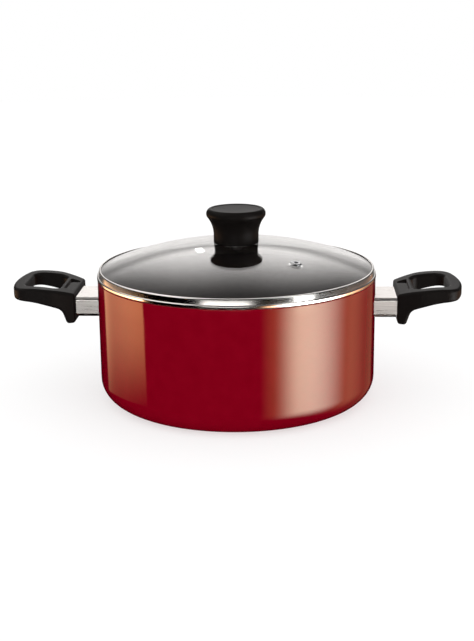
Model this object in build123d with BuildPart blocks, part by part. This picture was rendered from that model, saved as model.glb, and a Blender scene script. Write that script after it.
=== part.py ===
"""Covered casserole dish: an enamelled aluminium pot with two moulded side grips,
and a tempered glass lid in a rolled steel band with a knob and a steam vent.

Millimetres. +Z is up, +X runs along the two grips, and the origin is the centre
of the pot's flat base. The two grips are the same moulding, turned half a turn.
"""

import math
import os

from build123d import *

# Pot: straight wall on a flat base with a round bottom corner.
pot_outer_radius = 124.0
pot_height = 110.3
pot_wall = 2.8
pot_base = 4.5
pot_corner_radius = 20.0
rim_edge_radius = 0.9
base_groove_count = 5
base_groove_pitch = 16.0
base_groove_width = 1.2
base_groove_depth = 0.4

# Lid glass: a spherical cap of even thickness with a ground edge.
glass_thickness = 4.0
glass_edge_above_rim = 7.2
glass_rise = 22.9
knob_hole_radius = 5.0

# Lid band: steel sheet rolled over the glass edge, with a bead that sits on the rim
# and a skirt that centres the lid inside the pot.
lid_seat_gap = 0.3
skirt_clearance = 0.8
skirt_depth = 6.0
skirt_thickness = 1.2
band_gauge = 0.8
band_overhang = 0.4
band_wall_flare = 1.0
shoulder_radius = 1.6
bead_height = 1.7
bead_width = 1.8
bead_edge_radius = 0.75
lip_length = 2.0
lip_edge_radius = 0.35
glass_fit = 0.15

# Steam vent: an eyelet closed over a washer through the glass.
vent_from_axis = 74.6
vent_angle = -44.3
vent_bore_radius = 1.9
vent_tube_radius = 2.8
vent_flange_radius = 5.0
vent_flange_height = 0.9
vent_tail_radius = 4.2
vent_lip_width = 0.9
vent_roll_inset = 0.5
vent_roll_height = 0.65
vent_washer_radius = 6.0
vent_washer_thickness = 0.8

# Knob and its fastening through the glass.
knob_foot_radius = 20.0
knob_rim_radius = 26.4
knob_height = 30.4
knob_neck_length = 7.3
knob_flare_drop = 7.45
knob_flare_inset = 0.9
knob_rim_drop = 4.7
knob_crown_drop = 0.4
knob_crown_inset = 2.2
knob_crown_top_inset = 3.6
knob_dish_inset = 5.4
knob_dish_depth = 0.9
knob_dish_drop = 0.6
knob_recess_radius = 16.0
knob_recess_depth = 1.4
insert_radius = 4.5
insert_length = 15.0
gasket_radius = 13.0
gasket_thickness = 1.3
gasket_collar_height = 2.4
washer_radius = 10.0
washer_thickness = 1.2
washer_edge_radius = 0.5
screw_radius = 2.5
screw_head_radius = 5.2
screw_head_height = 3.0
screw_crown_radius = 2.1
screw_drive_width = 1.1
screw_drive_depth = 1.8
knob_screw_engagement = 12.0
thread_clearance = 0.05
running_clearance = 0.1
contact_gap = 0.05

# Side grips: one loop moulding on each side, held off the wall by a steel flame guard.
handle_axis_height = 85.4
guard_length = 18.0
guard_width = 46.0
guard_height = 17.6
guard_gauge = 1.0
guard_edge_radius = 3.0
guard_socket_depth = 2.0
grip_reach = 58.0
grip_neck_width = 59.0
grip_width = 76.0
grip_flare_length = 22.0
grip_flare_radius = 30.0
grip_bar_width = 13.0
grip_bar_thickness = 12.8
grip_root_length = 15.0
grip_crown = 8.0
grip_corner_radius = 13.0
grip_top_at_root = 13.3
grip_top_rise = 6.0
grip_crest_at = 23.0
grip_crest_drop = 0.5
grip_tip_drop = 0.6
grip_belly_at = 31.5
grip_belly_rise = 2.2
grip_web_length = 11.6
grip_web_height = -0.6
grip_web_radius = 9.0
grip_foot_drop = 13.2
grip_foot_width = 7.6
grip_foot_radius = 2.9
grip_edge_radius = 2.6
finger_corner_radius = 8.0
pocket_length = 36.0
pocket_width = 9.0
pocket_depth = 0.6
pocket_inset = 0.8
pocket_corner_radius = 1.5

# Bracket riveted to the wall inside the flame guard, and the screw that holds the grip.
bracket_plate = 2.0
bracket_width = 40.0
bracket_height = 13.0
bracket_post_radius = 4.5
post_socket_depth = 5.0
rivet_spacing = 26.0
rivet_radius = 2.5
rivet_head_radius = 5.0
rivet_head_height = 1.6
rivet_tail_radius = 4.0
screw_lift = 2.5
screw_sink = 4.0
screw_thread_depth = 12.0
grip_screw_engagement = 10.8
grip_washer_thickness = 1.0

# How far a cutting or trimming shape runs past the piece that it cuts.
cut_over = 1.0

# Values that follow from the sizes above.
pot_inner_radius = pot_outer_radius - pot_wall
band_bottom = pot_height + lid_seat_gap
glass_edge_radius = pot_outer_radius + band_overhang - bead_width - band_gauge - glass_fit
glass_edge_top = pot_height + glass_edge_above_rim
glass_apex = glass_edge_top + glass_rise
glass_outer_sphere = (glass_edge_radius**2 + glass_rise**2) / (2 * glass_rise)
glass_inner_sphere = glass_outer_sphere - glass_thickness
glass_centre = glass_apex - glass_outer_sphere


def glass_top(radius):
    """Height of the glass's upper surface at a distance from the lid's axis."""
    return glass_centre + math.sqrt(glass_outer_sphere**2 - radius**2)


def glass_under(radius):
    """Height of the glass's lower surface at a distance from the lid's axis."""
    return glass_centre + math.sqrt(glass_inner_sphere**2 - radius**2)


os.makedirs("parts", exist_ok=True)


def finish(builder, name):
    """Label a finished piece and write it to its own STEP file."""
    builder.part.label = name
    export_step(builder.part, f"parts/{name}.step")


# ---------------------------------------------------------------- pot
# The handle frames: local +x points outwards along each grip, local +y is level.
handle_frames = {
    "right": Plane(origin=(0, 0, handle_axis_height), x_dir=(1, 0, 0), z_dir=(0, 0, 1)),
    "left": Plane(origin=(0, 0, handle_axis_height), x_dir=(-1, 0, 0), z_dir=(0, 0, 1)),
}


def upright_plane(frame):
    """The plane that holds the handle's side profile: local x outwards, local y up."""
    return Plane(origin=frame.origin, x_dir=frame.x_dir, z_dir=-frame.y_dir)


def facing_plane(frame, distance):
    """The plane that faces along a handle at a distance from the pot's axis."""
    start = frame.origin + frame.x_dir * distance
    return Plane(origin=start, x_dir=frame.y_dir, z_dir=frame.x_dir)


with BuildPart() as pot_body:
    with BuildSketch(Plane.XZ) as wall_section:
        with BuildLine():
            Line((0, 0), (pot_outer_radius - pot_corner_radius, 0))
            RadiusArc(
                (pot_outer_radius - pot_corner_radius, 0),
                (pot_outer_radius, pot_corner_radius),
                -pot_corner_radius,
            )
            Line((pot_outer_radius, pot_corner_radius), (pot_outer_radius, pot_height))
            Line((pot_outer_radius, pot_height), (pot_inner_radius, pot_height))
            Line((pot_inner_radius, pot_height), (pot_inner_radius, pot_corner_radius))
            RadiusArc(
                (pot_inner_radius, pot_corner_radius),
                (pot_inner_radius + pot_base - pot_corner_radius, pot_base),
                pot_corner_radius - pot_base,
            )
            Line((pot_inner_radius + pot_base - pot_corner_radius, pot_base), (0, pot_base))
            Line((0, pot_base), (0, 0))
        make_face()
        fillet(wall_section.vertices().group_by(Axis.Y)[-1], rim_edge_radius)
    revolve(axis=Axis.Z)
    with BuildSketch(Plane.XZ):
        for turn in range(1, base_groove_count + 1):
            with Locations((turn * base_groove_pitch, 0)):
                Rectangle(base_groove_width, 2 * base_groove_depth)
    revolve(axis=Axis.Z, mode=Mode.SUBTRACT)
    for frame in handle_frames.values():
        with BuildSketch(facing_plane(frame, 0)):
            with GridLocations(rivet_spacing, 1, 2, 1):
                Circle(rivet_radius)
        extrude(amount=pot_outer_radius + cut_over, mode=Mode.SUBTRACT)
finish(pot_body, "pot_body")

# ---------------------------------------------------------------- lid glass
vent_spot = (
    vent_from_axis * math.cos(math.radians(vent_angle)),
    vent_from_axis * math.sin(math.radians(vent_angle)),
    glass_top(vent_from_axis),
)
vent_normal = (vent_spot[0], vent_spot[1], vent_spot[2] - glass_centre)
vent_plane = Plane(origin=vent_spot, z_dir=vent_normal)

with BuildPart() as lid_glass:
    with BuildSketch(Plane.XZ):
        with BuildLine():
            RadiusArc(
                (knob_hole_radius, glass_top(knob_hole_radius)),
                (glass_edge_radius, glass_top(glass_edge_radius)),
                glass_outer_sphere,
            )
            Line(
                (glass_edge_radius, glass_top(glass_edge_radius)),
                (glass_edge_radius, glass_under(glass_edge_radius)),
            )
            RadiusArc(
                (glass_edge_radius, glass_under(glass_edge_radius)),
                (knob_hole_radius, glass_under(knob_hole_radius)),
                -glass_inner_sphere,
            )
            Line(
                (knob_hole_radius, glass_under(knob_hole_radius)),
                (knob_hole_radius, glass_top(knob_hole_radius)),
            )
        make_face()
    revolve(axis=Axis.Z)
    with BuildSketch(vent_plane):
        Circle(vent_tube_radius)
    extrude(amount=2 * glass_thickness, both=True, mode=Mode.SUBTRACT)
finish(lid_glass, "lid_glass")

# ---------------------------------------------------------------- lid band
skirt_outer_radius = pot_inner_radius - skirt_clearance
skirt_inner_radius = skirt_outer_radius - skirt_thickness
bead_outer_radius = pot_outer_radius + band_overhang
band_wall_radius = bead_outer_radius - bead_width
channel_radius = glass_edge_radius + glass_fit
lip_inner_radius = channel_radius - lip_length
lip_edge_height = glass_top(lip_inner_radius) + glass_fit + band_gauge
shoulder_height = glass_top(band_wall_radius) + glass_fit + band_gauge

with BuildPart() as lid_band:
    with BuildSketch(Plane.XZ) as band_section:
        with BuildLine():
            Polyline(
                (lip_inner_radius, lip_edge_height),
                (band_wall_radius, shoulder_height),
                (band_wall_radius + band_wall_flare, band_bottom + bead_height),
                (bead_outer_radius, band_bottom + bead_height),
                (bead_outer_radius, band_bottom),
                (skirt_outer_radius, band_bottom),
                (skirt_outer_radius, band_bottom - skirt_depth),
                (skirt_inner_radius, band_bottom - skirt_depth),
                (skirt_inner_radius, glass_under(skirt_inner_radius) - glass_fit),
                (channel_radius, glass_under(channel_radius) - glass_fit),
                (channel_radius, glass_top(channel_radius) + glass_fit),
                (lip_inner_radius, glass_top(lip_inner_radius) + glass_fit),
                close=True,
            )
        make_face()
        outer_corners = band_section.vertices().group_by(Axis.X)[-1]
        fillet(outer_corners, bead_edge_radius)
        lip_edge = band_section.vertices().sort_by_distance((lip_inner_radius, lip_edge_height))[0]
        fillet(lip_edge, lip_edge_radius)
        shoulder = band_section.vertices().sort_by_distance((band_wall_radius, shoulder_height))[0]
        fillet(shoulder, shoulder_radius)
    revolve(axis=Axis.Z)
finish(lid_band, "lid_band")

# ---------------------------------------------------------------- steam vent
vent_axis = Axis(vent_plane.origin, vent_plane.z_dir)
vent_washer_top = -glass_thickness - running_clearance
vent_tail_top = vent_washer_top - vent_washer_thickness
vent_mouth_radius = vent_bore_radius + vent_lip_width
vent_tail_mouth_radius = vent_bore_radius + vent_lip_width / 2

with BuildPart() as vent_washer:
    with BuildSketch(vent_plane.offset(vent_washer_top)):
        Circle(vent_washer_radius)
        Circle(vent_tube_radius, mode=Mode.SUBTRACT)
    extrude(amount=-vent_washer_thickness)
finish(vent_washer, "vent_washer")

with BuildPart() as steam_vent:
    with BuildSketch(upright_plane(vent_plane)):
        with BuildLine():
            Line((vent_bore_radius, vent_flange_height), (vent_mouth_radius, vent_flange_height))
            ThreePointArc(
                (vent_mouth_radius, vent_flange_height),
                (vent_flange_radius - vent_roll_inset, vent_roll_height),
                (vent_flange_radius, 0),
            )
            Polyline(
                (vent_flange_radius, 0),
                (vent_tube_radius, 0),
                (vent_tube_radius, vent_tail_top),
                (vent_tail_radius, vent_tail_top),
            )
            ThreePointArc(
                (vent_tail_radius, vent_tail_top),
                (vent_tail_radius - vent_roll_inset, vent_tail_top - vent_roll_height),
                (vent_tail_mouth_radius, vent_tail_top - vent_flange_height),
            )
            Polyline(
                (vent_tail_mouth_radius, vent_tail_top - vent_flange_height),
                (vent_bore_radius, vent_tail_top - vent_flange_height),
                (vent_bore_radius, vent_flange_height),
            )
        make_face()
    revolve(axis=vent_axis)
finish(steam_vent, "steam_vent")

# ---------------------------------------------------------------- knob
knob_foot_height = glass_top(knob_foot_radius) + running_clearance
knob_top_height = knob_foot_height + knob_height
recess_top = knob_foot_height + knob_recess_depth
knob_neck_height = knob_foot_height + knob_neck_length
knob_flare_height = knob_top_height - knob_flare_drop
knob_rim_height = knob_top_height - knob_rim_drop
knob_dish_edge = knob_top_height - knob_dish_drop
knob_dish_radius = knob_rim_radius - knob_dish_inset
knob_dish_sphere = (knob_dish_radius**2 + knob_dish_depth**2) / (2 * knob_dish_depth)

with BuildPart() as knob:
    with BuildSketch(Plane.XZ):
        with BuildLine():
            Line((0, recess_top), (knob_recess_radius, recess_top))
            Polyline(
                (knob_recess_radius, recess_top),
                (knob_recess_radius, glass_top(knob_recess_radius) + running_clearance),
                (knob_foot_radius, knob_foot_height),
            )
            Line((knob_foot_radius, knob_foot_height), (knob_foot_radius, knob_neck_height))
            flare = TangentArc(
                (knob_foot_radius, knob_neck_height),
                (knob_rim_radius - knob_flare_inset, knob_flare_height),
                tangent=(0, 1),
            )
            ThreePointArc(
                flare @ 1,
                (knob_rim_radius, knob_rim_height),
                (knob_rim_radius - knob_crown_inset, knob_top_height - knob_crown_drop),
            )
            ThreePointArc(
                (knob_rim_radius - knob_crown_inset, knob_top_height - knob_crown_drop),
                (knob_rim_radius - knob_crown_top_inset, knob_top_height),
                (knob_dish_radius, knob_dish_edge),
            )
            RadiusArc(
                (knob_dish_radius, knob_dish_edge),
                (0, knob_dish_edge - knob_dish_depth),
                knob_dish_sphere,
            )
            Line((0, knob_dish_edge - knob_dish_depth), (0, recess_top))
        make_face()
    revolve(axis=Axis.Z)
    with BuildSketch(Plane.XY.offset(recess_top)):
        Circle(insert_radius)
    extrude(amount=insert_length, mode=Mode.SUBTRACT)
finish(knob, "knob")

with BuildPart() as knob_insert:
    with BuildSketch(Plane.XY.offset(recess_top)):
        Circle(insert_radius)
        Circle(screw_radius + thread_clearance, mode=Mode.SUBTRACT)
    extrude(amount=insert_length)
finish(knob_insert, "knob_insert")

with BuildPart() as upper_gasket:
    with BuildSketch(Plane.XY.offset(glass_top(gasket_radius))):
        Circle(gasket_radius)
        Circle(screw_radius + running_clearance, mode=Mode.SUBTRACT)
    extrude(amount=recess_top - glass_top(gasket_radius))
    with Locations((0, 0, glass_centre)):
        Sphere(glass_outer_sphere + contact_gap, mode=Mode.SUBTRACT)
finish(upper_gasket, "upper_gasket")

lower_gasket_bottom = glass_under(0) - gasket_thickness
with BuildPart() as lower_gasket:
    with BuildSketch(Plane.XY.offset(lower_gasket_bottom)):
        Circle(gasket_radius)
    extrude(amount=gasket_thickness)
    with Locations((0, 0, glass_centre)):
        Sphere(glass_inner_sphere - contact_gap, mode=Mode.INTERSECT)
    with BuildSketch(Plane.XY.offset(lower_gasket_bottom)):
        Circle(knob_hole_radius - running_clearance)
    extrude(amount=gasket_thickness + gasket_collar_height)
    with BuildSketch(Plane.XY.offset(lower_gasket_bottom)):
        Circle(screw_radius + running_clearance)
    extrude(amount=gasket_thickness + glass_thickness, mode=Mode.SUBTRACT)
finish(lower_gasket, "lower_gasket")

washer_bottom = lower_gasket_bottom - washer_thickness
with BuildPart() as knob_washer:
    with BuildSketch(Plane.XY.offset(washer_bottom)):
        Circle(washer_radius)
        Circle(screw_radius + running_clearance, mode=Mode.SUBTRACT)
    extrude(amount=washer_thickness)
    fillet(knob_washer.faces().sort_by(Axis.Z)[0].outer_wire().edges(), washer_edge_radius)
finish(knob_washer, "knob_washer")


def screw(seat, head_radius, head_height, shank_radius, shank_length):
    """A pan-head screw: its head stands on the seat plane, its shank runs the other way."""
    with BuildPart() as made:
        with BuildSketch(seat):
            Circle(head_radius)
        extrude(amount=head_height)
        crown = made.faces().sort_by(Axis(seat.origin, seat.z_dir))[-1]
        fillet(crown.edges(), screw_crown_radius)
        with BuildSketch(seat):
            Circle(shank_radius)
        extrude(amount=-shank_length)
        with BuildSketch(seat.offset(head_height)):
            Rectangle(head_radius, screw_drive_width)
            Rectangle(screw_drive_width, head_radius)
        extrude(amount=-screw_drive_depth, mode=Mode.SUBTRACT)
    return made


knob_screw_seat = Plane(origin=(0, 0, washer_bottom), z_dir=(0, 0, -1))
knob_screw_length = recess_top + knob_screw_engagement - washer_bottom
knob_screw = screw(knob_screw_seat, screw_head_radius, screw_head_height, screw_radius, knob_screw_length)
finish(knob_screw, "knob_screw")

# ---------------------------------------------------------------- side grips
grip_start = pot_outer_radius + guard_length
grip_end = grip_start + grip_reach
grip_tip = grip_end + cut_over
grip_half = grip_width / 2
neck_half = grip_neck_width / 2
bar_start = grip_start + grip_flare_length
crown_x = grip_end - grip_crown
finger_start = grip_start + grip_root_length
finger_end = grip_end - grip_bar_width
finger_half = grip_half - grip_bar_width
grip_crest = grip_top_at_root + grip_top_rise
grip_belly = grip_crest - grip_bar_thickness
web_point = (grip_start + grip_web_length, grip_web_height)
post_end = grip_start + post_socket_depth
screw_seat_x = finger_start - screw_sink
plate_outer_radius = pot_outer_radius + bracket_plate
rivet_offset = rivet_spacing / 2
wall_at_rivet = math.sqrt(pot_inner_radius**2 - rivet_offset**2)
plate_at_rivet = math.sqrt(plate_outer_radius**2 - rivet_offset**2)
tall = 3 * pot_height


def rounded_tube_face(width, height, corner, wall):
    """The face of a rounded rectangular tube, for a sketch that is open."""
    RectangleRounded(width, height, corner)
    RectangleRounded(width - 2 * wall, height - 2 * wall, corner - wall, mode=Mode.SUBTRACT)


for side, frame in handle_frames.items():
    screw_frame = frame.offset(screw_lift)

    # Flame guard: a rounded tube, shaped to the wall at one end and let into the grip.
    with BuildPart() as flame_guard:
        with BuildSketch(facing_plane(frame, 0)):
            rounded_tube_face(guard_width, guard_height, guard_edge_radius, guard_gauge)
        extrude(amount=grip_start + guard_socket_depth)
        Cylinder(pot_outer_radius + contact_gap, tall, mode=Mode.SUBTRACT)
    finish(flame_guard, f"{side}_flame_guard")

    # Bracket: a pad shaped to the wall, with a tapped post for the grip's screw.
    with BuildPart() as bracket:
        with BuildSketch(facing_plane(frame, 0)):
            Rectangle(bracket_width, bracket_height)
        extrude(amount=plate_outer_radius + cut_over)
        Cylinder(plate_outer_radius, tall, mode=Mode.INTERSECT)
        Cylinder(pot_outer_radius + contact_gap, tall, mode=Mode.SUBTRACT)
        with BuildSketch(facing_plane(screw_frame, pot_outer_radius + bracket_plate / 2)):
            Circle(bracket_post_radius)
        extrude(amount=post_end - pot_outer_radius - bracket_plate / 2)
        with BuildSketch(facing_plane(screw_frame, post_end)):
            Circle(screw_radius + thread_clearance)
        extrude(amount=-screw_thread_depth, mode=Mode.SUBTRACT)
        with BuildSketch(facing_plane(frame, plate_at_rivet - 2 * bracket_plate)):
            with GridLocations(rivet_spacing, 1, 2, 1):
                Circle(rivet_radius)
        extrude(amount=3 * bracket_plate, mode=Mode.SUBTRACT)
    finish(bracket, f"{side}_bracket")

    # Rivets: low heads shaped to the inside of the wall, closed over the bracket's pad.
    with BuildPart() as inner_heads:
        with BuildSketch(facing_plane(frame, wall_at_rivet - rivet_head_height)):
            with GridLocations(rivet_spacing, 1, 2, 1):
                Circle(rivet_head_radius)
        extrude(amount=2 * rivet_head_height)
        Cylinder(pot_inner_radius - contact_gap, tall, mode=Mode.INTERSECT)
    with BuildPart() as rivets:
        with BuildSketch(facing_plane(frame, plate_at_rivet - bracket_plate / 2)):
            with GridLocations(rivet_spacing, 1, 2, 1):
                Circle(rivet_tail_radius)
        extrude(amount=rivet_head_height + bracket_plate / 2)
        Cylinder(plate_outer_radius + contact_gap, tall, mode=Mode.SUBTRACT)
        add(inner_heads.part)
        with BuildSketch(facing_plane(frame, wall_at_rivet - rivet_head_height / 2)):
            with GridLocations(rivet_spacing, 1, 2, 1):
                Circle(rivet_radius)
        extrude(amount=plate_at_rivet - wall_at_rivet + rivet_head_height)
    finish(rivets, f"{side}_rivets")

    # Grip: the loop's plan outline, cut to its side profile, with its rims rounded.
    with BuildPart() as grip:
        with BuildSketch(frame) as plan:
            with BuildLine():
                Polyline(
                    (crown_x, -grip_half),
                    (bar_start, -grip_half),
                    (grip_start, -neck_half),
                    (grip_start, neck_half),
                    (bar_start, grip_half),
                    (crown_x, grip_half),
                )
                ThreePointArc((crown_x, grip_half), (grip_end, 0), (crown_x, -grip_half))
            make_face()
            fillet(plan.vertices().group_by(Axis.X)[-1], grip_corner_radius)
            fillet(plan.vertices().group_by(Axis.X)[1], grip_flare_radius)
        extrude(amount=2 * grip_width, both=True)
        with BuildSketch(upright_plane(frame)) as profile:
            with BuildLine():
                Line((grip_start, -grip_foot_drop), (grip_start, grip_top_at_root))
                ThreePointArc(
                    (grip_start, grip_top_at_root),
                    (grip_start + grip_crest_at, grip_crest - grip_crest_drop),
                    (grip_tip, grip_crest - grip_tip_drop),
                )
                Line((grip_tip, grip_crest - grip_tip_drop), (grip_tip, grip_belly + grip_belly_rise))
                ThreePointArc(
                    (grip_tip, grip_belly + grip_belly_rise),
                    (grip_start + grip_belly_at, grip_belly),
                    web_point,
                )
                Line(web_point, (grip_start + grip_foot_width, -grip_foot_drop))
                Line((grip_start + grip_foot_width, -grip_foot_drop), (grip_start, -grip_foot_drop))
            make_face()
            fillet(profile.vertices().group_by(Axis.Y)[0], grip_foot_radius)
            fillet(profile.vertices().sort_by_distance(web_point)[0], grip_web_radius)
        extrude(amount=grip_width, both=True, mode=Mode.INTERSECT)
        curved_rims = grip.edges().filter_by(Axis.Z, reverse=True).filter_by(Axis.Y, reverse=True)
        root_rim = grip.edges().filter_by(Axis.Y).sort_by(Axis.Z)[-1:]
        fillet(curved_rims + root_rim, grip_edge_radius)
        with BuildSketch(frame):
            with Locations(((finger_start + finger_end) / 2, 0)):
                RectangleRounded(finger_end - finger_start, 2 * finger_half, finger_corner_radius)
        extrude(amount=2 * grip_width, both=True, mode=Mode.SUBTRACT)
        finger_rims = grip.edges(Select.LAST).filter_by(Axis.Z, reverse=True)
        fillet(finger_rims, grip_edge_radius)
        with BuildSketch(frame.offset(grip_top_at_root - pocket_depth)):
            with Locations((grip_start + grip_root_length / 2 - pocket_inset, 0)):
                RectangleRounded(pocket_width, pocket_length, pocket_corner_radius)
        extrude(amount=grip_width, mode=Mode.SUBTRACT)
        with BuildSketch(facing_plane(frame, grip_start)):
            RectangleRounded(
                guard_width + 2 * running_clearance,
                guard_height + 2 * running_clearance,
                guard_edge_radius + running_clearance,
            )
        extrude(amount=guard_socket_depth, mode=Mode.SUBTRACT)
        with BuildSketch(facing_plane(screw_frame, grip_start)):
            Circle(bracket_post_radius + running_clearance)
        extrude(amount=post_socket_depth, mode=Mode.SUBTRACT)
        with BuildSketch(facing_plane(screw_frame, grip_start)):
            Circle(screw_radius + running_clearance)
        extrude(amount=grip_root_length, mode=Mode.SUBTRACT)
        with BuildSketch(facing_plane(screw_frame, screw_seat_x)):
            Circle(screw_head_radius + 2 * running_clearance)
        extrude(amount=2 * screw_sink, mode=Mode.SUBTRACT)
    finish(grip, f"{side}_grip")

    with BuildPart() as grip_washer:
        with BuildSketch(facing_plane(screw_frame, screw_seat_x)):
            Circle(screw_head_radius)
            Circle(screw_radius + running_clearance, mode=Mode.SUBTRACT)
        extrude(amount=grip_washer_thickness)
    finish(grip_washer, f"{side}_grip_washer")

    head_seat = facing_plane(screw_frame, screw_seat_x + grip_washer_thickness)
    grip_screw = screw(
        head_seat,
        screw_head_radius,
        screw_head_height,
        screw_radius,
        screw_seat_x + grip_washer_thickness - post_end + grip_screw_engagement,
    )
    finish(grip_screw, f"{side}_grip_screw")
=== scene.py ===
"""Covered casserole dish: an enamelled aluminium pot, two moulded side grips on steel flame guards,
and a tempered glass lid in a polished steel band, with a knob and a steam vent. Metres, +Z up.
"""

import math

import bpy
import numpy as np
from mathutils import Matrix, Vector


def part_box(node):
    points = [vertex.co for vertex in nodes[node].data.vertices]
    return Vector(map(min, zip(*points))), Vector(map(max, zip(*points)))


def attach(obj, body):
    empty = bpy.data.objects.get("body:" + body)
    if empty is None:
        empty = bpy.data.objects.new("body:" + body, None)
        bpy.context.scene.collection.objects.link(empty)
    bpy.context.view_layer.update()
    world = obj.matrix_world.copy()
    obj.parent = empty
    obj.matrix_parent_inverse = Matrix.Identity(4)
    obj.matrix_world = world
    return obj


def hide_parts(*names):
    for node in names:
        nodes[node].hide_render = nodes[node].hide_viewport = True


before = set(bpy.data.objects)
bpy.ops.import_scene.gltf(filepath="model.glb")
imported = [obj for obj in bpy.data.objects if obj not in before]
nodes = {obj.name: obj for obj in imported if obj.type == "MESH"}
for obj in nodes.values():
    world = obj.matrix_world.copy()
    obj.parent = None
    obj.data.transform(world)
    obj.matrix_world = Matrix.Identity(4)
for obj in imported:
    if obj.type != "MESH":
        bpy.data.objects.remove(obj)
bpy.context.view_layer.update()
scene = bpy.context.scene

# ---------------------------------------------------------------- camera
# A long lens a little above the rim, turned slightly towards the right-hand grip.
camera_distance = 1.1
camera_turn = math.radians(3.0)
camera_rise = math.radians(15.45)
camera_roll = math.radians(-0.59)
camera_aim = Vector((0.0, 0.0, 0.0672))
camera_lens = 68.16

camera_data = bpy.data.cameras.new("camera")
camera_data.sensor_fit = "VERTICAL"
camera_data.sensor_height = 36.0
camera_data.lens = camera_lens
camera_data.clip_start = 0.01
camera = bpy.data.objects.new("camera", camera_data)
scene.collection.objects.link(camera)
camera_facing = (
    Matrix.Rotation(camera_turn, 4, "Z")
    @ Matrix.Rotation(math.pi / 2 - camera_rise, 4, "X")
    @ Matrix.Rotation(camera_roll, 4, "Z")
)
camera_back = Vector((
    math.sin(camera_turn) * math.cos(camera_rise),
    -math.cos(camera_turn) * math.cos(camera_rise),
    math.sin(camera_rise),
))
camera.matrix_world = Matrix.Translation(camera_aim + camera_distance * camera_back) @ camera_facing
scene.camera = camera
scene.view_settings.view_transform = "Standard"

# ---------------------------------------------------------------- studio
# A white table under soft light from all round. Gloss sees a dark room with a tall softbox on the left,
# a broad one on the right and a pale panel behind, each fading softly at its edges.
room_light = 0.97
front_fill = 0.6
backdrop_shade = 0.10
backdrop_edges = (-0.2, 0.35)
backdrop_foot = (-14, -11)
ceiling_shade = 0.10
ceiling_edges = (30, 60)
window_orange = (1.0, 0.56, 0.29)
window_glow_orange = (1.0, 0.57, 0.29)
key_orange = (1.0, 0.52, 0.28)
edge_orange = (1.0, 0.48, 0.25)
warm_white = (1.0, 0.97, 0.955)
card_white = (1.0, 0.98, 0.96)
cool_white = (1.0, 1.10, 1.14)
white = (1.0, 1.0, 1.0)
floor_radius = 3.0
floor_corners = 96
floor_tone = 0.40
floor_lift = 0.62


def node(tree, kind, inputs=None, **settings):
    """Adds a node, sets its properties and fills its inputs. An input given as a socket is linked."""
    made = tree.nodes.new(kind)
    for key, value in settings.items():
        setattr(made, key, value)
    for key, value in (inputs or {}).items():
        if isinstance(value, bpy.types.NodeSocket):
            tree.links.new(value, made.inputs[key])
        else:
            made.inputs[key].default_value = value
    return made


def calc(tree, operation, a, b=0.0):
    """One Math node's result."""
    return node(tree, "ShaderNodeMath", {0: a, 1: b}, operation=operation).outputs[0]


def smooth_step(tree, value, start, end):
    """0 before start, 1 after end, and 3t^2 - 2t^3 between them."""
    step = node(
        tree,
        "ShaderNodeMapRange",
        {"Value": value, "From Min": start, "From Max": end, "To Min": 0.0, "To Max": 1.0},
        interpolation_type="SMOOTHSTEP",
    )
    return step.outputs["Result"]


studio = bpy.data.worlds.new("studio")
scene.world = studio
studio.use_nodes = True
studio.cycles.sampling_method = "NONE"
sky = studio.node_tree
sky.nodes.clear()
sky_split = node(sky, "ShaderNodeSeparateXYZ", {0: node(sky, "ShaderNodeTexCoord").outputs["Generated"]})
sky_bearing = calc(
    sky, "ARCTAN2", sky_split.outputs["X"], calc(sky, "MULTIPLY", sky_split.outputs["Y"], -1.0)
)
sky_bearing_behind = calc(sky, "ARCTAN2", sky_split.outputs["X"], sky_split.outputs["Y"])
sky_rise = calc(sky, "ARCSINE", sky_split.outputs["Z"])


def between(value, low, low_fade, high, high_fade):
    """1 from low to high, and smoothly down to 0 over the fades on either side, in degrees."""
    after_low = smooth_step(sky, value, math.radians(low - low_fade), math.radians(low))
    before_high = smooth_step(sky, value, math.radians(high + high_fade), math.radians(high))
    return calc(sky, "MULTIPLY", after_low, before_high)


def tinted(strength, colour):
    """A strength, number or socket, as light of one colour."""
    return node(sky, "ShaderNodeVectorMath", {0: colour, "Scale": strength}, operation="SCALE").outputs[0]


def softbox(colour, strength, across, up, bearing=sky_bearing):
    """Light of one softbox by direction. Across and up are its (low, low fade, high, high fade): bearings
    from the front, or from straight behind, with + to the right, and heights above the horizon."""
    share = calc(sky, "MULTIPLY", between(bearing, *across), between(sky_rise, *up))
    return tinted(calc(sky, "MULTIPLY", share, strength), colour)


# On the left a window, crisp towards the front and glowing less towards the back, and a lamp overhead. On
# the right a key in a warm glow, a faint glow past it and an upright strip. In front a low card, and
# behind a panel, a pale horizon and a small lamp.
tall = (-13, 10, -10, 5)
broad = (-14, 38, -10, 4)
left_window = softbox(window_orange, 2.5, (-134, 3, -79, 1.5), tall)
left_window_glow = softbox(window_glow_orange, 5.2, (-79.5, 45, -79, 1.5), tall)
left_overhead = softbox(card_white, 1.2, (-130, 30, -50, 20), (38, 14, 62, 14))
right_key = softbox(cool_white, 14.6, (57, 26, 61, 44), broad)
right_key_glow = softbox(key_orange, 2.6, (34, 14, 96, 40), broad)
right_edge_glow = softbox(edge_orange, 0.42, (112, 10, 150, 6), broad)
right_upright = softbox(white, 3.0, (54, 7, 62, 7), (-10, 4, 60, 15))
front_card = softbox(card_white, 2.9, (-20, 8, 8, 10), (-9, 2, 2, 3))
back_panel = softbox(warm_white, 1.95, (-9, 20, 4, 20), (21, 8, 29, 27), sky_bearing_behind)
back_horizon = softbox(warm_white, 0.84, (-12, 16, 7, 16), (-12, 2, 11, 8), sky_bearing_behind)
back_lamp = softbox(white, 7.0, (-8.3, 0.3, -7.7, 0.3), (17.8, 0.6, 21.2, 0.6), sky_bearing_behind)

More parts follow.
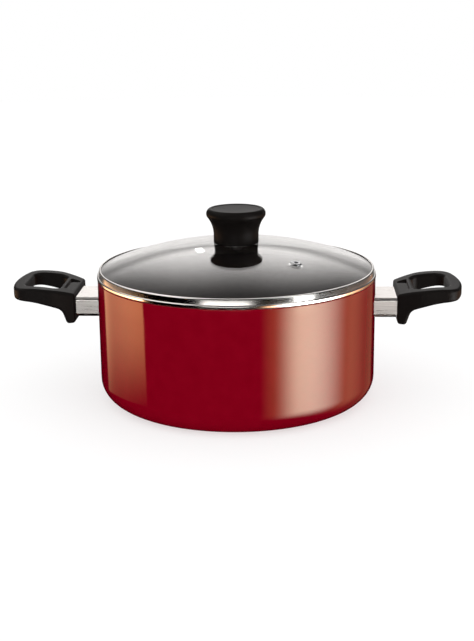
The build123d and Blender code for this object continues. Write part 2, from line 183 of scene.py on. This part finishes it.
backdrop = smooth_step(sky, sky_split.outputs["Y"], *backdrop_edges)
backdrop_above = smooth_step(sky, sky_rise, *np.radians(backdrop_foot).tolist())
ceiling = smooth_step(sky, sky_rise, *np.radians(ceiling_edges).tolist())
gloss = tinted(
    calc(
        sky,
        "ADD",
        calc(sky, "MULTIPLY", calc(sky, "MULTIPLY", backdrop, backdrop_shade), backdrop_above),
        calc(sky, "MULTIPLY", ceiling, ceiling_shade),
    ),
    warm_white,
)
for light in (
    left_window,
    left_window_glow,
    left_overhead,
    right_key,
    right_key_glow,
    right_edge_glow,
    right_upright,
    front_card,
    back_panel,
    back_horizon,
    back_lamp,
):
    gloss = node(sky, "ShaderNodeVectorMath", {0: gloss, 1: light}, operation="ADD").outputs[0]
room_fill = calc(sky, "MAXIMUM", calc(sky, "MULTIPLY", sky_split.outputs["Y"], -front_fill), 0.0)
sky_path = node(sky, "ShaderNodeLightPath")
room_back = node(
    sky, "ShaderNodeBackground", {"Color": (*white, 1), "Strength": calc(sky, "ADD", room_fill, room_light)}
)
gloss_back = node(sky, "ShaderNodeBackground", {"Color": gloss, "Strength": 1.0})
seen_back = node(sky, "ShaderNodeBackground", {"Color": (*white, 1), "Strength": 1.0})
lit = node(
    sky,
    "ShaderNodeMixShader",
    {0: sky_path.outputs["Is Glossy Ray"], 1: room_back.outputs[0], 2: gloss_back.outputs[0]},
)
seen = node(
    sky,
    "ShaderNodeMixShader",
    {0: sky_path.outputs["Is Camera Ray"], 1: lit.outputs[0], 2: seen_back.outputs[0]},
)
node(sky, "ShaderNodeOutputWorld", {"Surface": seen.outputs[0]})


def sheet_mesh(name, points, faces):
    """A mesh object from an array of points and a list or array of faces, linked at the origin."""
    mesh = bpy.data.meshes.new(name)
    mesh.from_pydata(points.tolist(), [], [list(face) for face in faces])
    mesh.validate()
    made = bpy.data.objects.new(name, mesh)
    scene.collection.objects.link(made)
    return made


def new_material(name, constants):
    """A material with one Principled shader whose named inputs are set, its node tree and the shader."""
    material = bpy.data.materials.new(name)
    material.use_nodes = True
    shader = material.node_tree.nodes["Principled BSDF"]
    for key, value in constants.items():
        shader.inputs[key].default_value = value
    return material, material.node_tree, shader


around = np.linspace(0, 2 * math.pi, floor_corners, endpoint=False)
floor_edge = np.column_stack([np.cos(around), np.sin(around), np.zeros(floor_corners)]) * floor_radius
floor = sheet_mesh("table_top", floor_edge, [range(floor_corners)])
table_paint = {
    "Base Color": (floor_tone, floor_tone, floor_tone, 1),
    "Roughness": 0.9,
    "Emission Color": (*white, 1),
    "Emission Strength": floor_lift,
    "Specular IOR Level": 0.0,
}
floor.data.materials.append(new_material("table_paint", table_paint)[0])
floor.visible_glossy = False

# ---------------------------------------------------------------- pot body
# One pressed aluminium shell: crimson enamel outside, grey non-stick coating inside, and bare metal on
# top of the trimmed rim and on the flat base, where rings are turned so that the pot grips a hob.
pot_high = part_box("pot_body")[1]
pot_radius = pot_high.x
pot_height = pot_high.z
pot_wall = 0.0028
pot_floor = 0.0045
pot_corner = 0.020
rim_round = 0.0009
enamel_stops = 0.0002
base_ring_pitch = 0.016
base_ring_width = 0.0012
base_ring_depth = 0.0004
base_ring_count = 5
base_ring_edge = 5e-5
foot_of_enamel = pot_radius - pot_corner
rivet_hole_radius = 0.0025
rivet_spacing = 0.026
handle_height = 0.0854
drilled_half_height = 0.00704
round_steps = 320
drill_steps = 48
hair = 1e-6


def tone(red, green, blue):
    """A screen colour, 0 to 255, as the linear colour that a shader takes."""
    screen = np.array([red, green, blue]) / 255
    linear = np.where(screen <= 0.04045, screen / 12.92, ((screen + 0.055) / 1.055) ** 2.4)
    return (*linear.tolist(), 1.0)


def outline(corners, arc_steps=12):
    """A profile through corners (r, z, radius): straight runs joined by tangent arcs. Each arc's centre
    lies on the corner's bisector at radius / cos(turn / 2), and the arc sweeps the turn evenly."""
    points = np.array([corner[:2] for corner in corners], float)
    radii = np.array([corner[2] for corner in corners], float)
    back = np.roll(points, 1, axis=0) - points
    ahead = np.roll(points, -1, axis=0) - points
    back /= np.linalg.norm(back, axis=1, keepdims=True)
    ahead /= np.linalg.norm(ahead, axis=1, keepdims=True)
    inward = back + ahead
    inward /= np.maximum(np.linalg.norm(inward, axis=1, keepdims=True), 1e-9)
    along = ahead - back
    along /= np.maximum(np.linalg.norm(along, axis=1, keepdims=True), 1e-9)
    half_turn = np.arccos(np.clip(-(back * ahead).sum(axis=1), -1, 1)) / 2
    centres = points + inward * (radii / np.cos(half_turn))[:, None]
    sweep = half_turn[:, None] * np.linspace(-1, 1, arc_steps)
    arcs = -inward[:, None] * np.cos(sweep)[..., None] + along[:, None] * np.sin(sweep)[..., None]
    path = (centres[:, None] + radii[:, None, None] * arcs).reshape(-1, 2)
    apart = np.linalg.norm(path - np.roll(path, 1, axis=0), axis=1)
    return path[apart > 1e-7]


def turned(name, profile, finishes, finish_at=None, steps=round_steps):
    """A lathe surface: each profile point (r, z) goes round +Z, so that x = r cos a and y = r sin a.
    A profile that starts and ends on the axis has a fan at each pole; any other closes on itself.
    finish_at gives each run's material from the r and z of its middle."""
    angle = np.linspace(0, 2 * math.pi, steps, endpoint=False)
    poles = profile[0, 0] < 1e-9
    rings = profile[1:-1] if poles else profile
    count = len(rings)
    points = np.stack(
        [
            rings[:, None, 0] * np.cos(angle),
            rings[:, None, 0] * np.sin(angle),
            np.broadcast_to(rings[:, None, 1], (count, steps)),
        ],
        axis=-1,
    ).reshape(-1, 3)
    run = np.arange(count - 1 if poles else count)[:, None]
    turn = np.arange(steps)
    after = (turn + 1) % steps
    ahead = (run + 1) % count
    corners = (run * steps + turn, run * steps + after, ahead * steps + after, ahead * steps + turn)
    quads = np.stack(np.broadcast_arrays(*corners), axis=-1).reshape(-1, 4)
    middle = (rings + np.roll(rings, -1, axis=0))[: len(run)] / 2
    faces = quads.tolist()
    if poles:
        first, last = len(points), len(points) + 1
        ends = [[0, 0, profile[0, 1]], [0, 0, profile[-1, 1]]]
        points = np.concatenate([points, ends])
        tail = (count - 1) * steps
        faces += np.column_stack([after, turn, np.full(steps, first)]).tolist()
        faces += np.column_stack([tail + turn, tail + after, np.full(steps, last)]).tolist()
        middle = np.concatenate([middle, profile[:1], profile[-1:]])
    piece = sheet_mesh(name, points, faces)
    for finish in finishes:
        piece.data.materials.append(finish)
    if finish_at is not None:
        index = np.repeat(finish_at(middle[:, 0], middle[:, 1]), steps)
        piece.data.polygons.foreach_set("material_index", index.astype(np.int32))
    smooth(piece)
    return piece


def smooth(piece, angle=40):
    """Smooth shading, with creases kept where faces meet at more than the angle, in degrees."""
    piece.data.shade_smooth()
    piece.data.set_sharp_from_angle(angle=math.radians(angle))


def drilled(piece, centre, direction, radius, length):
    """Cuts a round hole through a closed piece and keeps its materials; the drill is thrown away."""
    end = length / 2
    rod = outline([(0, -end, 0), (radius, -end, 0), (radius, end, 0), (0, end, 0)])
    drill = turned("drill", rod, [], steps=drill_steps)
    facing = Vector(direction).to_track_quat("Z", "Y").to_matrix().to_4x4()
    drill.data.transform(Matrix.Translation(centre) @ facing)
    cut = piece.modifiers.new("hole", "BOOLEAN")
    cut.operation = "DIFFERENCE"
    cut.object = drill
    cut.solver = "EXACT"
    bpy.context.view_layer.update()
    before = piece.data
    shaped = bpy.data.meshes.new_from_object(piece.evaluated_get(bpy.context.evaluated_depsgraph_get()))
    piece.modifiers.clear()
    piece.data = shaped
    shaped.name = before.name
    bpy.data.meshes.remove(before)
    bpy.data.objects.remove(drill)
    smooth(piece)


def surface(name, tones, roughness, grain, stretch=(1, 1, 1), depth=2e-5, rings=False, **constants):
    """One procedural finish. Noise on the piece's own coordinates drifts the colour between two tones and
    the roughness between two values, and lifts the surface by depth. With rings, the noise is read from
    distance to the axis and height alone, so that its marks run round the piece. Constants are the
    shader's inputs, with _ for a space."""
    constants = {key.replace("_", " "): value for key, value in constants.items()}
    material, tree, shader = new_material(name, constants)
    place = node(tree, "ShaderNodeTexCoord").outputs["Object"]
    if rings:
        split = node(tree, "ShaderNodeSeparateXYZ", {0: place})
        flat = node(tree, "ShaderNodeCombineXYZ", {"X": split.outputs["X"], "Y": split.outputs["Y"]})
        length = node(tree, "ShaderNodeVectorMath", {0: flat.outputs[0]}, operation="LENGTH")
        away = {"X": length.outputs["Value"], "Z": split.outputs["Z"]}
        place = node(tree, "ShaderNodeCombineXYZ", away).outputs[0]
    place = node(tree, "ShaderNodeMapping", {"Vector": place, "Scale": stretch}).outputs[0]
    noise = node(
        tree, "ShaderNodeTexNoise", {"Vector": place, "Scale": grain, "Detail": 4.0, "Roughness": 0.6}
    ).outputs["Fac"]
    drift = node(
        tree, "ShaderNodeMapRange", {"Value": noise, "From Min": 0.3, "From Max": 0.7}
    ).outputs["Result"]
    colour = node(
        tree, "ShaderNodeMix", {"Factor": drift, 6: tones[0], 7: tones[1]}, data_type="RGBA"
    ).outputs[2]
    polish = node(
        tree, "ShaderNodeMapRange", {"Value": drift, "To Min": roughness[0], "To Max": roughness[1]}
    ).outputs["Result"]
    relief = node(tree, "ShaderNodeBump", {"Height": noise, "Distance": depth, "Strength": 1.0}).outputs[0]
    tree.links.new(colour, shader.inputs["Base Color"])
    tree.links.new(polish, shader.inputs["Roughness"])
    tree.links.new(relief, shader.inputs["Normal"])
    return material


enamel = surface(
    "crimson_enamel",
    (tone(115, 0, 19), tone(121, 1, 22)),
    (0.045, 0.075),
    grain=90.0,
    depth=4e-6,
    IOR=1.4,
    Specular_Tint=(1.0, 0.82, 0.58, 1.0),
)
non_stick = surface("non_stick_coating", (tone(70, 60, 57), tone(92, 80, 77)), (0.34, 0.52), grain=900.0)
bare_aluminium = surface(
    "turned_aluminium",
    (tone(186, 184, 180), tone(226, 222, 214)),
    (0.22, 0.40),
    grain=1400.0,
    rings=True,
    Metallic=1.0,
)


def pot_finish(reach, height):
    """0 enamel outside, 1 non-stick inside, 2 bare metal on top of the rim and on the flat base."""
    within_wall = (reach < pot_radius - pot_wall + hair) & (height > pot_floor - hair)
    from_corner = np.hypot(reach - foot_of_enamel, height - pot_corner)
    at_corner = (height < pot_corner) & (reach > foot_of_enamel)
    inside = within_wall & ~(at_corner & (from_corner > pot_corner - pot_wall / 2))
    rim = height > pot_height - enamel_stops
    base = (height < pot_floor / 2) & (reach < foot_of_enamel)
    return np.where(rim | base, 2, np.where(inside, 1, 0))


pot_profile = [(0, 0, 0)]
for ring in range(1, base_ring_count + 1):
    ring_inside = ring * base_ring_pitch - base_ring_width / 2
    ring_outside = ring * base_ring_pitch + base_ring_width / 2
    pot_profile += [
        (ring_inside, 0, base_ring_edge),
        (ring_inside, base_ring_depth, base_ring_edge),
        (ring_outside, base_ring_depth, base_ring_edge),
        (ring_outside, 0, base_ring_edge),
    ]
pot_profile += [
    (foot_of_enamel, 0, 0),
    (pot_radius, 0, pot_corner - hair),
    (pot_radius, handle_height - drilled_half_height, 0),
    (pot_radius, handle_height + drilled_half_height, 0),
    (pot_radius, pot_height, rim_round),
    (pot_radius - pot_wall, pot_height, rim_round),
    (pot_radius - pot_wall, handle_height + drilled_half_height, 0),
    (pot_radius - pot_wall, handle_height - drilled_half_height, 0),
    (pot_radius - pot_wall, pot_floor, pot_corner - pot_floor),
    (0, pot_floor, 0),
]
pot = turned("pot_shell", outline(pot_profile), [enamel, non_stick, bare_aluminium], pot_finish)
for hole_y in (-rivet_spacing / 2, rivet_spacing / 2):
    drilled(pot, (0, hole_y, handle_height), (1, 0, 0), rivet_hole_radius, 3 * pot_radius)
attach(pot, "pot")
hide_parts("pot_body")

# ---------------------------------------------------------------- flame guards
# A short rounded tube of stainless steel on each side keeps the plastic off the hot wall. It is bent from
# brushed strip, cut to the wall's curve and held between the wall and the grip.


def refinish(node_names, material):
    """Gives CAD pieces whose shape is already right their finish."""
    for name in node_names:
        nodes[name].data.materials.clear()
        nodes[name].data.materials.append(material)


def both_sides(name):
    """The left and right pieces of one kind."""
    return [f"left_{name}", f"right_{name}"]


brushed_steel = surface(
    "brushed_steel",
    (tone(205, 202, 199), tone(232, 229, 226)),
    (0.24, 0.42),
    grain=700.0,
    stretch=(0.05, 1, 1),
    depth=4e-6,
    Metallic=1.0,
)
refinish(both_sides("flame_guard"), brushed_steel)

# ---------------------------------------------------------------- brackets and rivets
# Inside each guard a cast aluminium pad with a tapped post is riveted through the wall. The rivets' low
# round heads show on the non-stick side.
cast_aluminium = surface(
    "cast_aluminium", (tone(150, 149, 147), tone(182, 181, 178)), (0.45, 0.62), grain=1500.0, Metallic=1.0
)
rivet_aluminium = surface(
    "rivet_aluminium", (tone(176, 175, 173), tone(208, 207, 204)), (0.28, 0.40), grain=1100.0, Metallic=1.0
)
refinish(both_sides("bracket"), cast_aluminium)
refinish(both_sides("rivets"), rivet_aluminium)

# ---------------------------------------------------------------- side grips
# Each grip is one loop moulded in black heat-proof plastic, with a fine spark-eroded skin, a finger hole
# and a shallow pocket on top of its root. It slides over the guard's end.
black_plastic = surface(
    "moulded_black_plastic",
    (tone(14, 12, 11), tone(24, 21, 20)),
    (0.36, 0.46),
    grain=2600.0,
    depth=8e-6,
    IOR=1.13,
)
refinish(both_sides("grip"), black_plastic)

# ---------------------------------------------------------------- grip fastenings
# One zinc-plated pan-head screw and its washer sit in a counterbore in the finger hole and pull the grip
# onto the bracket's post.
plated_steel = surface(
    "zinc_plated_steel", (tone(168, 170, 172), tone(206, 207, 208)), (0.22, 0.36), grain=900.0, Metallic=1.0
)
refinish(both_sides("grip_washer") + both_sides("grip_screw"), plated_steel)

# The enamel shows the softboxes alone: no piece at the sides is seen in a reflection.
for name, piece in nodes.items():
    if name.startswith(("left", "right")):
        piece.visible_glossy = False

# ---------------------------------------------------------------- lid glass
# A tempered glass dome of even thickness, pressed to part of a sphere, with ground edges. It is drilled in
# the middle for the knob's screw and off the middle for the steam vent.
glass_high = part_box("lid_glass")[1]
glass_radius = glass_high.x
glass_thickness = 0.004
glass_rise = 0.0229
knob_hole = 0.005
glass_sphere = (glass_radius**2 + glass_rise**2) / (2 * glass_rise)
glass_centre = glass_high.z - math.sqrt(glass_sphere**2 - knob_hole**2)
vent_low, vent_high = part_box("vent_washer")
vent_middle = (vent_low + vent_high) / 2
vent_way = (vent_middle - Vector((0, 0, glass_centre))).normalized()
vent_spot = Vector((0, 0, glass_centre)) + vent_way * glass_sphere
vent_hole = 0.0028
ground_edge = 0.0004
dome_steps = 90


def dome(reach, sphere):
    """Height of a sphere about the dome's centre, at a distance from the lid's axis."""
    return glass_centre + np.sqrt(sphere**2 - reach**2)


reach = np.linspace(knob_hole + ground_edge, glass_radius - ground_edge, dome_steps)
upper_face = np.column_stack([reach, dome(reach, glass_sphere)])
lower_face = np.column_stack([reach, dome(reach, glass_sphere - glass_thickness)])
outer_edge = [
    [glass_radius, lower_face[-1, 1] + ground_edge],
    [glass_radius, upper_face[-1, 1] - ground_edge],
]
hole_edge = [
    [knob_hole, upper_face[0, 1] - ground_edge],
    [knob_hole, lower_face[0, 1] + ground_edge],
]
glass_profile = np.concatenate([hole_edge, lower_face, outer_edge, upper_face[::-1]])
tempered_glass = surface(
    "tempered_glass",
    (tone(250, 251, 250), tone(253, 253, 252)),
    (0.0, 0.012),
    grain=30.0,
    depth=2e-6,
    IOR=1.5,
    Transmission_Weight=1.0,
)
glass = turned("glass_dome", glass_profile, [tempered_glass])
drilled(glass, vent_spot, vent_way, vent_hole, 6 * glass_thickness)
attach(glass, "lid")
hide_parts("lid_glass")

# ---------------------------------------------------------------- lid band
# A hoop rolled from polished stainless strip and closed over the ground edge: a lip on top of the glass,
# a leaning wall, a bead that rests on the pot's rim and a skirt that centres the lid in the pot.
band_low, band_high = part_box("lid_band")
band_seat = 0.0003
band_gauge = 0.0008
band_fit = 0.00015
band_wall = band_high.x - 0.0012
band_lean = 0.0007
shoulder_round = 0.0012
bead_height = 0.0028
bead_step = 0.0002
bead_top_round = 0.0010
bead_foot_round = 0.0006
lip_reach = 0.0010
lip_round = 0.00035
skirt_clearance = 0.0008
skirt_thickness = 0.0012
skirt_round = 0.0003
channel_drop = 0.0004
channel = glass_radius + band_fit
channel_top = dome(channel, glass_sphere) + band_fit
channel_foot = dome(channel, glass_sphere) - glass_thickness - channel_drop
lip_start = channel - lip_reach
lip_foot = dome(lip_start, glass_sphere) + band_fit
seat_height = pot_height + band_seat
bead_top = seat_height + bead_height
skirt_outside = pot_radius - pot_wall - skirt_clearance
skirt_inside = skirt_outside - skirt_thickness
polished_steel = surface(
    "polished_steel",
    (tone(222, 220, 217), tone(240, 238, 235)),
    (0.12, 0.19),
    grain=2200.0,
    depth=1e-6,
    rings=True,
    Metallic=1.0,
)
band_profile = [
    (lip_start, lip_foot, 0),
    (channel, channel_top, 0),
    (channel, channel_foot, 0),
    (skirt_inside, dome(skirt_inside, glass_sphere - glass_thickness) - band_fit, 0),
    (skirt_inside, band_low.z, skirt_round),
    (skirt_outside, band_low.z, skirt_round),
    (skirt_outside, seat_height, 0),
    (band_high.x, seat_height, bead_foot_round),
    (band_high.x, bead_top, bead_top_round),
    (band_wall, bead_top + bead_step, 0),
    (band_wall - band_lean, channel_top + band_gauge, shoulder_round),
    (lip_start, lip_foot + band_gauge, lip_round),
]
band = turned("band_hoop", outline(band_profile), [polished_steel])
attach(band, "lid")
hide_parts("lid_band")

# ---------------------------------------------------------------- steam vent
# A steel eyelet pushed through the glass and rolled over a thin washer underneath, so that steam leaves
# beside the knob.
refinish(["steam_vent", "vent_washer"], plated_steel)

# ---------------------------------------------------------------- knob
# A waisted turning of the same black plastic with a dished top, moulded round a brass insert. A screw from
# below holds it to the glass between two silicone gaskets and a steel washer.
brass = surface(
    "brass_insert", (tone(176, 142, 78), tone(200, 166, 98)), (0.26, 0.38), grain=900.0, Metallic=1.0
)
silicone = surface("clear_silicone", (tone(206, 206, 202), tone(222, 222, 218)), (0.42, 0.56), grain=600.0)
refinish(["knob"], black_plastic)
refinish(["knob_insert"], brass)
refinish(["knob_washer", "knob_screw"], plated_steel)
refinish(["upper_gasket", "lower_gasket"], silicone)
